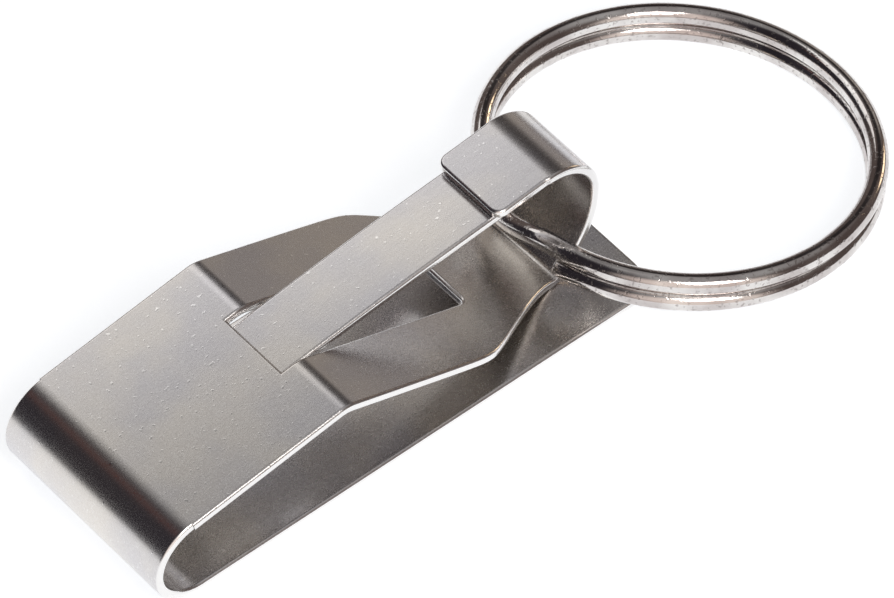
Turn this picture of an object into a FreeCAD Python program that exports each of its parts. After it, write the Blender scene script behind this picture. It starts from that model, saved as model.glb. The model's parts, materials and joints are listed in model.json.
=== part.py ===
"""Slip-on belt key clip: a folded spring-steel strip with a hook, the tongue that closes it, and a ring.

The strip is one folded piece in reality, and the tongue another, spot-welded under the front leaf
so that it comes up through a window.  Both are modelled as the stretches that stay stiff and the
bends that flex, each in its own node, so that the spring bend and the tongue's root can be joints.
Units are millimetres and degrees.  +X runs from the spring bend to the hook, +Z away from the
clothing, and the origin is the middle of the flat back plate's outer face.
"""
import FreeCAD, Part
import math
import os
import Sketcher

Vector = FreeCAD.Vector
Y_AXIS = Vector(0, 1, 0)

# Driving dimensions, each settable by itself.
SIZES = {
    "strip_width": 22.0,
    "sheet_thick": 1.0,
    "edge_round": 0.35,
    "back_overhang": 8.3,      # back plate past the pinch, so that a belt finds the slot
    "back_corner": 3.7,
    "bend_radius": 4.6,        # middle surface of the spring bend
    "rise_angle": 8.4,         # front leaf's slope from the spring bend up to the crease
    "rise_length": 17.2,
    "crease_radius": 3.0,
    "fall_angle": 20.0,        # slope of the wings from the crease down to the pinch
    "pinch_gap": 0.08,         # front leaf above the back plate
    "shoulder_reach": 12.4,    # pinch to the end of the full width, along the wing
    "taper_angle": 29.8,
    "window_reach": 10.1,      # pinch to the window's end, along the wing
    "window_corner": 0.8,
    "root_reach": 15.85,       # spring bend to the window's start, along the front leaf
    "slit_gap": 0.2,           # each side of the tongue
    "tongue_width": 7.4,
    "anchor_length": 9.0,      # tongue welded under the front leaf, behind the window
    "tip_cover": 3.1,          # tongue under the lip
    "tip_gap": 0.1,            # tongue below the lip
    "tip_corner": 1.2,
    "neck_width": 8.9,
    "toe_radius": 1.5,
    "toe_angle": 40.0,
    "toe_length": 1.0,
    "hook_back_radius": 10.1,
    "hook_back_turn": 52.0,
    "hook_top_radius": 5.2,
    "hook_top_turn": 94.0,
    "lip_length": 6.1,
    "lip_corner": 1.2,
    "ring_radius": 18.5,       # middle of the wire
    "wire_diameter": 2.0,
    "coil_gap": 0.1,
    "ring_step_half": 14.5,    # half of the arc where the wire steps from coil to coil
    "ring_step_shift": -3.0,   # middle of that step from the ring's leftmost point
    "ring_seat_height": 6.8,   # wire inside the hook, above the table
    "ring_seat_back": -0.45,   # wire inside the hook, from the pinch
    "ring_shift": -2.4,
    "ring_roll": -2.6,
}


def make_sheet(doc, label, values):
    """Write named numbers into a spreadsheet, one alias per row."""
    sheet = doc.addObject("Spreadsheet::Sheet", label)
    for row, (alias, value) in enumerate(values.items(), start=1):
        sheet.set(f"A{row}", alias)
        sheet.set(f"B{row}", str(value))
        sheet.setAlias(f"B{row}", alias)
    doc.recompute()
    return sheet


def read_sheet(sheet, names):
    """Return the sheet's values by alias."""
    return {name: float(sheet.get(name)) for name in names}


# ---------------------------------------------------------------- geometry of the folded strip

def walk(start, steps, values):
    """Follow a chain of (kind, radius alias, size alias, side) steps in the XZ plane.

    A pose is (x, z, heading in degrees).  A run goes straight; a turn bends left (+1) or right (-1).
    """
    x, z, heading = start
    for kind, radius_name, size_name, side in steps:
        size = values[size_name]
        if kind == "run":
            x += size * math.cos(math.radians(heading))
            z += size * math.sin(math.radians(heading))
            continue
        radius = values[radius_name]
        after = heading + side * size
        x += side * radius * (math.sin(math.radians(after)) - math.sin(math.radians(heading)))
        z -= side * radius * (math.cos(math.radians(after)) - math.cos(math.radians(heading)))
        heading = after
    return x, z, heading


def run(size_name):
    """A straight step."""
    return ("run", None, size_name, 0)


def left(radius_name, angle_name):
    """A step that turns left, seen from -Y."""
    return ("turn", radius_name, angle_name, 1)


def right(radius_name, angle_name):
    """A step that turns right, seen from -Y."""
    return ("turn", radius_name, angle_name, -1)


BEND_STEPS = [right("bend_radius", "bend_turn")]
RISE_STEPS = [run("rise_length"), right("crease_radius", "crease_turn")]
LEAF_STEPS = RISE_STEPS + [run("fall_length")]
ROOT_STEPS = [run("root_reach")]
HOOK_STEPS = [
    left("toe_radius", "toe_turn"),
    run("toe_length"),
    left("hook_back_radius", "hook_back_turn"),
    left("hook_top_radius", "hook_top_turn"),
    run("lip_length"),
]
ANCHOR_STEPS = [run("anchor_length")]
FLATTEST_BOW = 0.00005         # smallest curvature of the tongue, so that its radius stays finite


def under_leaf(pose, values):
    """Move a pose from the front leaf to the sheet that lies against its underside."""
    x, z, heading = pose
    lean = math.radians(heading)
    return x + values["sheet_thick"] * math.sin(lean), z - values["sheet_thick"] * math.cos(lean), heading


def add_tongue_bow(values, root, lip_end):
    """Work out the bow of the loaded tongue, which passes just under the lip.

    It has to clear both the lip's end and the part of the lip over its own tip, so of the two
    arcs that leave its root along the leaf and meet those places it takes the lower one.
    """
    sheet_step = values["sheet_thick"] + values["tip_gap"]
    lean = math.radians(lip_end[2] - 180)
    chords = []
    bends = []
    for cover in (0.0, values["tip_cover"]):
        across = lip_end[0] + cover * math.cos(lean) + sheet_step * math.sin(lean) - root[0]
        up = lip_end[1] + cover * math.sin(lean) - sheet_step * math.cos(lean) - root[1]
        half_turn = math.radians(root[2]) - math.atan2(up, across)
        chords.append(math.hypot(across, up))
        bends.append(2 * math.sin(half_turn) / chords[-1])
    bend = max(bends)
    values["bow_side"] = -1 if bend > 0 else 1
    bend = max(abs(bend), FLATTEST_BOW)
    values["tongue_radius"] = 1 / bend
    values["bow_turn"] = math.degrees((chords[0] + values["tip_cover"]) * bend)


def tongue_steps(values):
    """The tongue's free length: one long bow, down or up as the lip's height asks."""
    return [("turn", "tongue_radius", "bow_turn", values["bow_side"])]


def ring_tilt(values):
    """Return the tilt that lays the far side of the ring on the table, with its wire in the hook."""
    radius = values["ring_radius"]
    wire = values["wire_diameter"] / 2
    half_pitch = wire + values["coil_gap"] / 2
    roll = math.cos(math.radians(values["ring_roll"]))
    low, high = 0.0, 80.0
    for _ in range(60):
        tilt = (low + high) / 2
        flat = math.cos(math.radians(tilt)) * roll
        rise = radius * math.sin(math.radians(tilt)) + radius * math.sqrt(1 - flat * flat)
        if rise + half_pitch * flat + wire < values["ring_seat_height"]:
            low = tilt
        else:
            high = tilt
    return tilt


def work_out(values):
    """Add the sizes that follow from the driving ones, and return the poses of the strip's seams."""
    half_sheet = values["sheet_thick"] / 2
    fall = math.radians(values["fall_angle"])
    values["bend_turn"] = 180 - values["rise_angle"]
    values["crease_turn"] = values["rise_angle"] + values["fall_angle"]
    values["toe_turn"] = values["fall_angle"] + values["toe_angle"]
    bend_end = walk((0, half_sheet, 180), BEND_STEPS, values)
    crease_end = walk(bend_end, RISE_STEPS, values)
    pinch_z = 1.5 * values["sheet_thick"] + values["pinch_gap"]
    toe_sag = (values["toe_radius"] + half_sheet) * (1 - math.cos(fall))
    pinch_z += toe_sag - half_sheet * (1 - math.cos(fall))
    values["fall_length"] = (crease_end[1] - pinch_z) / math.sin(fall)
    pinch = walk(crease_end, [run("fall_length")], values)
    values["back_length"] = pinch[0] + values["back_overhang"]
    shift = values["back_length"] / 2
    poses = {
        "back_plate": (0, half_sheet, 0),
        "spring_bend": (0, half_sheet, 180),
        "front_leaf": bend_end,
        "ring_hook": pinch,
        "window": walk(bend_end, ROOT_STEPS, values),
        "crease": crease_end,
    }
    poses["spring_tongue"] = under_leaf(poses["window"], values)
    x, z, heading = poses["spring_tongue"]
    back_x = x - values["anchor_length"] * math.cos(math.radians(heading))
    back_z = z - values["anchor_length"] * math.sin(math.radians(heading))
    poses["tongue_anchor"] = (back_x, back_z, heading)
    poses["lip_end"] = walk(pinch, HOOK_STEPS, values)
    add_tongue_bow(values, poses["spring_tongue"], poses["lip_end"])
    poses["tip"] = walk(poses["spring_tongue"], tongue_steps(values), values)
    values["window_half"] = values["tongue_width"] / 2 + values["slit_gap"]
    values["ring_tilt"] = ring_tilt(values)
    return {name: (x - shift, z, heading) for name, (x, z, heading) in poses.items()}


def frame_at(pose):
    """A placement whose +X runs along the pose's heading."""
    x, z, heading = pose
    return FreeCAD.Placement(Vector(x, 0, z), FreeCAD.Rotation(Y_AXIS, -heading))


# ---------------------------------------------------------------- sketches

def bind(sketch, index, expression):
    """Drive one constraint from the spreadsheets."""
    sketch.setExpression(f"Constraints[{index}]", expression)


def new_sketch(body, name, plane, offset=None):
    """Add a sketch on one of the body's own origin planes."""
    sketch = body.newObject("Sketcher::SketchObject", name)
    for feature in body.Origin.OriginFeatures:
        if feature.Role == plane:
            sketch.AttachmentSupport = [(feature, "")]
    sketch.MapMode = "FlatFace"
    if offset is not None:
        sketch.AttachmentOffset = offset
    return sketch


def cell(name):
    """The expression that reads one named size, driving or worked out."""
    return f"<<Sizes>>.{name}" if name in SIZES else f"<<Worked>>.{name}"


def path_sketch(body, steps, values):
    """Draw the strip's middle line as a tangent chain from the body's origin along +X."""
    sketch = new_sketch(body, body.Label + "_path", "XZ_Plane")
    pose = (0.0, 0.0, 0.0)
    last = None
    for step in steps:
        kind, radius_name, size_name, side = step
        x, z, heading = pose
        after = walk(pose, [step], values)
        if kind == "run":
            line = Part.LineSegment(Vector(x, z, 0), Vector(after[0], after[1], 0))
            geo = sketch.addGeometry(line, False)
            head, tail = 1, 2
        else:
            radius = values[radius_name]
            turn = math.radians(heading)
            centre = Vector(x - side * radius * math.sin(turn), z + side * radius * math.cos(turn), 0)
            angles = sorted(math.radians(angle - side * 90) for angle in (heading, after[2]))
            circle = Part.Circle(centre, Vector(0, 0, 1), radius)
            geo = sketch.addGeometry(Part.ArcOfCircle(circle, *angles), False)
            head, tail = (1, 2) if side > 0 else (2, 1)
        if last is None:
            sketch.addConstraint(Sketcher.Constraint("Coincident", geo, head, -1, 1))
            if kind == "run":
                sketch.addConstraint(Sketcher.Constraint("Horizontal", geo))
            else:
                sketch.addConstraint(Sketcher.Constraint("PointOnObject", geo, 3, -2))
        else:
            sketch.addConstraint(Sketcher.Constraint("Tangent", *last, geo, head))
        if kind == "run":
            size = sketch.addConstraint(Sketcher.Constraint("Distance", geo, values[size_name]))
            bind(sketch, size, cell(size_name))
        else:
            bow = sketch.addConstraint(Sketcher.Constraint("Radius", geo, radius))
            bind(sketch, bow, cell(radius_name))
            span = math.radians(values[size_name])
            size = sketch.addConstraint(Sketcher.Constraint("Angle", geo, span))
            bind(sketch, size, cell(size_name) + " * 1 deg")
        last = (geo, tail)
        pose = after
    return sketch


def section_sketch(body, width_name, values):
    """Draw the sheet's cross-section with rounded edges, centred on the middle line."""
    sketch = new_sketch(body, body.Label + "_section", "YZ_Plane")
    half_width = values[width_name] / 2
    half_sheet = values["sheet_thick"] / 2
    bow = values["edge_round"]
    arcs = []
    for quarter in range(4):
        side_y = 1 if quarter in (0, 3) else -1
        side_z = 1 if quarter < 2 else -1
        centre = Vector(side_y * (half_width - bow), side_z * (half_sheet - bow), 0)
        circle = Part.Circle(centre, Vector(0, 0, 1), bow)
        start = quarter * math.pi / 2
        arcs.append(sketch.addGeometry(Part.ArcOfCircle(circle, start, start + math.pi / 2), False))
    for quarter in range(4):
        one = arcs[quarter]
        two = arcs[(quarter + 1) % 4]
        ends = (sketch.getPoint(one, 2), sketch.getPoint(two, 1))
        geo = sketch.addGeometry(Part.LineSegment(*ends), False)
        sketch.addConstraint(Sketcher.Constraint("Tangent", one, 2, geo, 1))
        sketch.addConstraint(Sketcher.Constraint("Tangent", geo, 2, two, 1))
        level = "Horizontal" if quarter % 2 == 0 else "Vertical"
        sketch.addConstraint(Sketcher.Constraint(level, geo))
    for other in arcs[1:]:
        sketch.addConstraint(Sketcher.Constraint("Equal", arcs[0], other))
    sketch.addConstraint(Sketcher.Constraint("Symmetric", arcs[0], 3, arcs[2], 3, -1, 1))
    size = sketch.addConstraint(Sketcher.Constraint("Radius", arcs[0], bow))
    bind(sketch, size, cell("edge_round"))
    size = sketch.addConstraint(Sketcher.Constraint("DistanceX", arcs[2], 1, arcs[0], 1, 2 * half_width))
    bind(sketch, size, cell(width_name))
    size = sketch.addConstraint(Sketcher.Constraint("DistanceY", arcs[2], 2, arcs[0], 2, 2 * half_sheet))
    bind(sketch, size, cell("sheet_thick"))
    return sketch


# ---------------------------------------------------------------- features

def new_body(doc, label, pose=None):
    """Add a body, with its path running from a seam of the strip."""
    body = doc.addObject("PartDesign::Body", label)
    body.Label = label
    if pose is not None:
        body.Placement = frame_at(pose)
    return body


def sweep_strip(doc, label, steps, width_name, pose, values):
    """Sweep the sheet's cross-section along a chain of runs and turns."""
    body = new_body(doc, label, pose)
    path = path_sketch(body, steps, values)
    section = section_sketch(body, width_name, values)
    doc.recompute()
    pipe = body.newObject("PartDesign::AdditivePipe", label + "_sweep")
    pipe.Profile = section
    pipe.Spine = path
    doc.recompute()
    return body


def add_outline(sketch, edges):
    """Draw one closed outline, joining each edge to the one before it."""
    joints = []
    for edge in edges:
        start = edge.value(edge.FirstParameter)
        geo = sketch.addGeometry(edge, False)
        flipped = (sketch.getPoint(geo, 1) - start).Length > (sketch.getPoint(geo, 2) - start).Length
        joints.append((geo, 2, 1) if flipped else (geo, 1, 2))
    for before, after in zip(joints, joints[1:] + joints[:1]):
        sketch.addConstraint(Sketcher.Constraint("Coincident", before[0], before[2], after[0], after[1]))


def loop_sketch(body, name, loops, offset=None):
    """Draw closed outlines in the body's XY plane, or in that plane moved by an offset."""
    sketch = new_sketch(body, name, "XY_Plane", offset)
    for edges in loops:
        add_outline(sketch, edges)
    return sketch


def polygon(points):
    """Closed straight-sided outline through (x, y) points."""
    corners = [Vector(x, y, 0) for x, y in points]
    return [Part.LineSegment(a, b) for a, b in zip(corners, corners[1:] + corners[:1])]


def cut_through(doc, body, name, loops, offset=None):
    """Cut outlines through the sheet at right angles to it, and check that something went."""
    before = body.Shape.Volume
    sketch = loop_sketch(body, name + "_outline", loops, offset)
    pocket = body.newObject("PartDesign::Pocket", name)
    pocket.Profile = sketch
    pocket.SideType = "Symmetric"
    pocket.setExpression("Length", cell("sheet_thick") + " * 6")
    doc.recompute()
    if body.Shape.Volume >= before:
        raise RuntimeError(name + " cut nothing")


def corner_loops(half_width, radius):
    """Outlines that round the two corners of a strip that ends at x = 0 and comes from -X."""
    loops = []
    for side in (1, -1):
        low = Vector(-radius, side * half_width, 0)
        tip = Vector(0, side * (half_width - radius), 0)
        middle = Vector(
            -radius + radius * math.sin(math.pi / 4),
            side * (half_width - radius + radius * math.cos(math.pi / 4)), 0)
        out = [
            Vector(-radius, side * (half_width + radius), 0),
            Vector(radius, side * (half_width + radius), 0),
            Vector(radius, side * (half_width - radius), 0),
        ]
        arc = Part.Arc(tip, middle, low)
        edges = [arc]
        stops = [low] + out + [tip]
        for start, end in zip(stops, stops[1:]):
            edges.append(Part.LineSegment(start, end))
        loops.append(edges)
    return loops


def local_frame(body, pose):
    """The placement of a world pose in the body's own frame."""
    return body.Placement.inverse().multiply(frame_at(pose))


# ---------------------------------------------------------------- the pieces

def make_back_plate(doc, poses, values):
    """Flat plate that lies against the clothing, with rounded corners at its free end."""
    x, z, heading = poses["back_plate"]
    body = new_body(doc, "back_plate", (x, z, heading))
    section = section_sketch(body, "strip_width", values)
    pad = body.newObject("PartDesign::Pad", "back_plate_pad")
    pad.Profile = section
    pad.setExpression("Length", cell("back_length"))
    doc.recompute()
    free_end = (x + values["back_length"], z, heading)
    loops = corner_loops(values["strip_width"] / 2, values["back_corner"])
    cut_through(doc, body, "back_corners", loops, local_frame(body, free_end))
    return body


def make_front_leaf(doc, poses, values):
    """Leaf that presses on the belt, with a tapered nose and the window that the tongue comes through."""
    body = sweep_strip(doc, "front_leaf", LEAF_STEPS, "strip_width", poses["front_leaf"], values)
    half_width = values["strip_width"] / 2
    half_neck = values["neck_width"] / 2
    spare = values["strip_width"]
    wing = local_frame(body, poses["ring_hook"])
    taper_run = (half_width - half_neck) / math.tan(math.radians(values["taper_angle"]))
    neck_start = taper_run - values["shoulder_reach"]
    tapers = []
    for side in (1, -1):
        tapers.append(polygon([
            (-values["shoulder_reach"], side * half_width),
            (neck_start, side * half_neck),
            (spare, side * half_neck),
            (spare, side * spare),
            (-values["shoulder_reach"], side * spare),
        ]))
    cut_through(doc, body, "tapers", tapers, wing)
    cut_window(doc, body, poses, values, wing)
    return body


def cut_window(doc, body, poses, values, wing):
    """Cut the tongue's window: square to the rise at its start and square to the wing further on."""
    half = values["window_half"]
    root_to_crease = values["rise_length"] - values["root_reach"] + values["crease_radius"] / 2
    behind = polygon([(0, -half), (root_to_crease, -half), (root_to_crease, half), (0, half)])
    cut_through(doc, body, "window_start", [behind], local_frame(body, poses["window"]))
    bow = values["window_corner"]
    end = -values["window_reach"]
    start = -values["fall_length"] - values["crease_radius"] / 4
    slant = bow * math.sin(math.pi / 4)
    near = [Vector(end - bow, -half, 0), Vector(end - bow + slant, -half + bow - slant, 0)]
    near.append(Vector(end, -half + bow, 0))
    far = [Vector(point.x, -point.y, 0) for point in reversed(near)]
    stops = [Vector(start, half, 0), Vector(start, -half, 0)]
    edges = [
        Part.LineSegment(stops[1], near[0]),
        Part.Arc(*near),
        Part.LineSegment(near[2], far[0]),
        Part.Arc(*far),
        Part.LineSegment(far[2], stops[0]),
        Part.LineSegment(*stops),
    ]
    cut_through(doc, body, "window", [edges], wing)


def make_ring_hook(doc, poses, values):
    """Narrow end of the strip, curled up and back into a hook with a straight lip."""
    body = sweep_strip(doc, "ring_hook", HOOK_STEPS, "neck_width", poses["ring_hook"], values)
    loops = corner_loops(values["neck_width"] / 2, values["lip_corner"])
    cut_through(doc, body, "lip_corners", loops, local_frame(body, poses["lip_end"]))
    return body


def make_spring_tongue(doc, poses, values):
    """Free length of the tongue, which bows slightly under load and closes the hook."""
    steps = tongue_steps(values)
    body = sweep_strip(doc, "spring_tongue", steps, "tongue_width", poses["spring_tongue"], values)
    loops = corner_loops(values["tongue_width"] / 2, values["tip_corner"])
    cut_through(doc, body, "tip_corners", loops, local_frame(body, poses["tip"]))
    return body


def ring_frame(poses, values):
    """The split ring's placement: centre, tilt about Y, then roll about its own X."""
    tilt = math.radians(values["ring_tilt"])
    seat = Vector(
        poses["ring_hook"][0] + values["ring_seat_back"],
        values["ring_shift"],
        values["ring_seat_height"])
    centre = seat + Vector(math.cos(tilt), 0, -math.sin(tilt)) * values["ring_radius"]
    turn = FreeCAD.Rotation(Y_AXIS, values["ring_tilt"])
    roll = FreeCAD.Rotation(Vector(1, 0, 0), values["ring_roll"])
    return FreeCAD.Placement(centre, turn.multiply(roll))


def make_coil(doc, label, level, start, values):
    """One of the ring's two coils, as a torus that stops short of the step."""
    coil = doc.addObject("Part::Torus", label)
    coil.setExpression("Radius1", cell("ring_radius"))
    coil.setExpression("Radius2", cell("wire_diameter") + " / 2")
    coil.setExpression("Angle3", "360 deg - 2 deg * " + cell("ring_step_half"))
    coil.Placement = FreeCAD.Placement(
        Vector(0, 0, level), FreeCAD.Rotation(Vector(0, 0, 1), start))
    return coil


def bend_wire(doc, label, start, tangent, end, values):
    """Bend wire through the arc that leaves one point along a tangent and ends at another."""
    chord = end - start
    half_turn = tangent.getAngle(chord)
    radius = chord.Length / 2 / math.sin(half_turn)
    normal = tangent.cross(chord).normalize()
    outward = tangent.cross(normal)
    bend = doc.addObject("Part::Torus", label)
    bend.Radius1 = radius
    bend.setExpression("Radius2", cell("wire_diameter") + " / 2")
    bend.Angle3 = math.degrees(2 * half_turn)
    turn = FreeCAD.Rotation(outward, tangent, normal, "ZXY")
    bend.Placement = FreeCAD.Placement(start - outward * radius, turn)
    return bend


def make_step(doc, half_pitch, middle, values):
    """The wire's climb from the lower coil to the upper one, as two arcs tangent to each other.

    Each arc's two tangents are equally long.  Their length is such that the inner ends of both
    arcs' tangents lie twice that length apart, and the arcs meet halfway between them.
    """
    ends = []
    for side in (-1, 1):
        angle = math.radians(middle + side * values["ring_step_half"])
        point = Vector(math.cos(angle), math.sin(angle), 0) * values["ring_radius"]
        point.z = side * half_pitch
        ends.append((point, Vector(-math.sin(angle), math.cos(angle), 0)))
    (start, leaving), (end, arriving) = ends
    span = end - start
    both = leaving + arriving
    spread = 4 - both.dot(both)
    drift = span.dot(both)
    reach = (math.sqrt(drift * drift + spread * span.dot(span)) - drift) / spread
    first = start + leaving * reach
    last = end - arriving * reach
    meeting = (first + last) / 2
    crossing = (last - first).normalize()
    return [
        bend_wire(doc, "step_rise", start, leaving, meeting, values),
        bend_wire(doc, "step_fall", meeting, crossing, end, values),
    ]


def make_split_ring(doc, poses, values):
    """Two turns of wire side by side; the wire steps over where both of its ends stop."""
    half_pitch = (values["wire_diameter"] + values["coil_gap"]) / 2
    middle = 180 + values["ring_step_shift"]
    start = middle + values["ring_step_half"]
    lower = make_coil(doc, "lower_coil", -half_pitch, start, values)
    upper = make_coil(doc, "upper_coil", half_pitch, start, values)
    ring = doc.addObject("Part::MultiFuse", "split_ring")
    ring.Shapes = [lower, *make_step(doc, half_pitch, middle, values), upper]
    ring.Placement = ring_frame(poses, values)
    doc.recompute()
    return ring


def check(doc, pieces):
    """Stop if any object failed or any piece is empty or invalid."""
    for item in doc.Objects:
        for bad in ("Invalid", "Error"):
            if bad in item.State:
                raise RuntimeError(f"{item.Label} is {bad}")
    for piece in pieces:
        shape = piece.Shape
        if shape.isNull() or not shape.isValid() or len(shape.Solids) != 1:
            raise RuntimeError(f"{piece.Label} is not one valid solid")


def print_axes(poses, values):
    """Print the axes that the moving pieces turn about: the tongue's is its root's lower edge."""
    root_x, root_z, heading = poses["spring_tongue"]
    lean = math.radians(heading)
    half_sheet = values["sheet_thick"] / 2
    ring = ring_frame(poses, values)
    seat = ring.multVec(Vector(-values["ring_radius"], 0, 0))
    side = ring.Rotation.multVec(Y_AXIS)
    print("jaw axis", poses["back_plate"][0], 0, values["sheet_thick"] / 2 + values["bend_radius"])
    print("gate axis", root_x + half_sheet * math.sin(lean), 0, root_z - half_sheet * math.cos(lean))
    print("ring seat", tuple(seat), "ring axis", tuple(side), "tilt", values["ring_tilt"])
    for name, pose in poses.items():
        print(name, [round(number, 3) for number in pose])


def main():
    """Build every piece, check them and write one STEP file each."""
    doc = FreeCAD.newDocument("belt_key_clip")
    sheet = make_sheet(doc, "Sizes", SIZES)
    values = read_sheet(sheet, SIZES)
    poses = work_out(values)
    make_sheet(doc, "Worked", {name: values[name] for name in values if name not in SIZES})
    pieces = [
        make_back_plate(doc, poses, values),
        sweep_strip(doc, "spring_bend", BEND_STEPS, "strip_width", poses["spring_bend"], values),
        make_front_leaf(doc, poses, values),
        make_ring_hook(doc, poses, values),
        sweep_strip(doc, "tongue_anchor", ANCHOR_STEPS, "tongue_width", poses["tongue_anchor"], values),
        make_spring_tongue(doc, poses, values),
        make_split_ring(doc, poses, values),
    ]
    doc.recompute()
    check(doc, pieces)
    print_axes(poses, values)
    os.makedirs("parts", exist_ok=True)
    for piece in pieces:
        piece.Shape.exportStep(f"parts/{piece.Label}.step")
        box = piece.Shape.BoundBox
        print(piece.Label, "volume", round(piece.Shape.Volume, 2), box)


main()
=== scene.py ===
"""Looks of a slip-on belt key clip: a folded nickel-plated spring strip and its split ring.

Everything is in metres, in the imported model's frame: +X from the spring bend to the hook, +Z away
from the back plate's outer face.  Sheet pieces are drawn on the unfolded strip, where s runs along
it and w across it, and are then folded along the strip's side profile.
"""
from __future__ import annotations

import json
import logging
import math
from dataclasses import dataclass
from enum import Enum
from typing import Sequence

import bpy
import numpy as np
from mathutils import Matrix, Vector


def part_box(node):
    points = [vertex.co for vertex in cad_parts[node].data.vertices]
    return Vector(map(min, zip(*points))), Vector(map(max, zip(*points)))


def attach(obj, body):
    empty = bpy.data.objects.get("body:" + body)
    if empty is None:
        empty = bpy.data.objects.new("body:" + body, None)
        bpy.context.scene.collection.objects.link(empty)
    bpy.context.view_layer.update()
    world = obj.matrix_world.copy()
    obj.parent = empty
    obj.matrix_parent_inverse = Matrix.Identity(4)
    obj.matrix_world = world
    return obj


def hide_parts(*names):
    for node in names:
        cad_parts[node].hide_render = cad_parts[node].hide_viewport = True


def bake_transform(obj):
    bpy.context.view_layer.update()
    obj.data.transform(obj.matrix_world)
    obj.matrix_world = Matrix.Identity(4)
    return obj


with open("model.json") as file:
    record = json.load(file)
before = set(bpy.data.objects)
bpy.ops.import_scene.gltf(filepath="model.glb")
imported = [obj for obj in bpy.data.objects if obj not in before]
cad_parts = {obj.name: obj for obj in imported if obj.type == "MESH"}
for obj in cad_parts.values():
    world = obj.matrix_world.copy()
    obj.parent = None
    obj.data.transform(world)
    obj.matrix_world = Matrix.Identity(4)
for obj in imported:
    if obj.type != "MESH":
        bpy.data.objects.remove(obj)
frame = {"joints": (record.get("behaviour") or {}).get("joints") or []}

LOG = logging.getLogger("belt_key_clip")
MM = 0.001
TINY = 1e-9
NOISE_MIDDLE = 0.5
RIGHT_ANGLE = math.pi / 2
COLOUR_MIX_INPUTS = (0, 6, 7)  # share, low and high: the Mix node repeats their names
COLOUR_MIX_OUTPUT = 2
Colour = tuple[float, float, float, float]
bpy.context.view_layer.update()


class Body(Enum):
    """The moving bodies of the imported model."""

    BACK = "back"
    JAW = "jaw"
    GATE = "gate"
    RING = "ring"


class Slot(Enum):
    """The record's material slots."""

    STRIP = "strip_steel"
    RING = "ring_steel"


# ------------------------------------------------------------------ shader expressions

@dataclass(frozen=True)
class Value:
    """A shader value that can be written as a Python expression."""

    tree: bpy.types.NodeTree
    socket: bpy.types.NodeSocket

    def _math(self, operation: str, *values: "Value | float") -> "Value":
        """Add one Math node and return its output."""
        made = self.tree.nodes.new("ShaderNodeMath")
        made.operation = operation
        for index, value in enumerate(values):
            if isinstance(value, Value):
                self.tree.links.new(value.socket, made.inputs[index])
            else:
                made.inputs[index].default_value = value
        return Value(self.tree, made.outputs[0])

    def __add__(self, other: "Value | float") -> "Value":
        """Sum."""
        return self._math("ADD", self, other)

    __radd__ = __add__

    def __sub__(self, other: "Value | float") -> "Value":
        """Difference."""
        return self._math("SUBTRACT", self, other)

    def __rsub__(self, other: float) -> "Value":
        """Difference from a number."""
        return self._math("SUBTRACT", other, self)

    def __mul__(self, other: "Value | float") -> "Value":
        """Product."""
        return self._math("MULTIPLY", self, other)

    __rmul__ = __mul__

    def between(self, low: float, high: float) -> "Value":
        """Return 0 below low and 1 above high, with a smooth step between them."""
        made = self.tree.nodes.new("ShaderNodeMapRange")
        made.interpolation_type = "SMOOTHSTEP"
        self.tree.links.new(self.socket, made.inputs["Value"])
        made.inputs["From Min"].default_value = low
        made.inputs["From Max"].default_value = high
        return Value(self.tree, made.outputs["Result"])


@dataclass(frozen=True)
class Graph:
    """A node tree and the few ways in which nodes are added to it."""

    tree: bpy.types.NodeTree

    def node(self, kind: str, settings: dict | None = None, **inputs: object) -> bpy.types.Node:
        """Add any node.

        Args:
            kind: The node's type.
            settings: The node's own properties, set before its sockets.
            inputs: Socket name, with _ for a space, to a value, a Value or a socket.

        Returns:
            The new node.
        """
        made = self.tree.nodes.new(kind)
        for name, setting in (settings or {}).items():
            setattr(made, name, setting)
        for name, value in inputs.items():
            self.feed(made.inputs[name.replace("_", " ")], value)
        return made

    def feed(self, socket: bpy.types.NodeSocket, value: object) -> None:
        """Link a value to a socket, or set the socket to it."""
        if isinstance(value, Value):
            self.tree.links.new(value.socket, socket)
        elif isinstance(value, bpy.types.NodeSocket):
            self.tree.links.new(value, socket)
        else:
            socket.default_value = value

    def value(self, socket: bpy.types.NodeSocket) -> Value:
        """Wrap a socket as an expression."""
        return Value(self.tree, socket)

    def mix(self, share: Value, low: object, high: object) -> bpy.types.NodeSocket:
        """Mix two colours by a share."""
        made = self.node("ShaderNodeMix", {"data_type": "RGBA"})
        for index, value in zip(COLOUR_MIX_INPUTS, (share, low, high)):
            self.feed(made.inputs[index], value)
        return made.outputs[COLOUR_MIX_OUTPUT]

    def noise(self, place: object, scale: float, detail: float = 2.0, rough: float = 0.5) -> Value:
        """Noise from 0 to 1 at so many features per metre."""
        made = self.node(
            "ShaderNodeTexNoise", Vector=place, Scale=scale, Detail=detail, Roughness=rough)
        return self.value(made.outputs["Fac"])

    def place(self) -> bpy.types.NodeSocket:
        """Return the place on the object."""
        return self.node("ShaderNodeTexCoord").outputs["Object"]

    def bump(self, shader: bpy.types.Node, height: Value, depth: float) -> None:
        """Raise a shader's surface by a height times a depth."""
        made = self.node("ShaderNodeBump", Height=height, Distance=depth, Strength=1.0)
        self.feed(shader.inputs["Normal"], made.outputs["Normal"])

    def stretched(self, place: object, scale: tuple[float, float, float]) -> bpy.types.NodeSocket:
        """Return a place with each axis scaled."""
        made = self.node("ShaderNodeVectorMath", {"operation": "MULTIPLY"})
        self.feed(made.inputs[0], place)
        self.feed(made.inputs[1], scale)
        return made.outputs[0]


def new_material(name: str) -> tuple[bpy.types.Material, Graph, bpy.types.Node]:
    """Return a new material, its graph and its Principled shader."""
    material = bpy.data.materials.new(name)
    material.use_nodes = True
    graph = Graph(material.node_tree)
    return material, graph, material.node_tree.nodes["Principled BSDF"]


# ------------------------------------------------------------------ finishes

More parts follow.
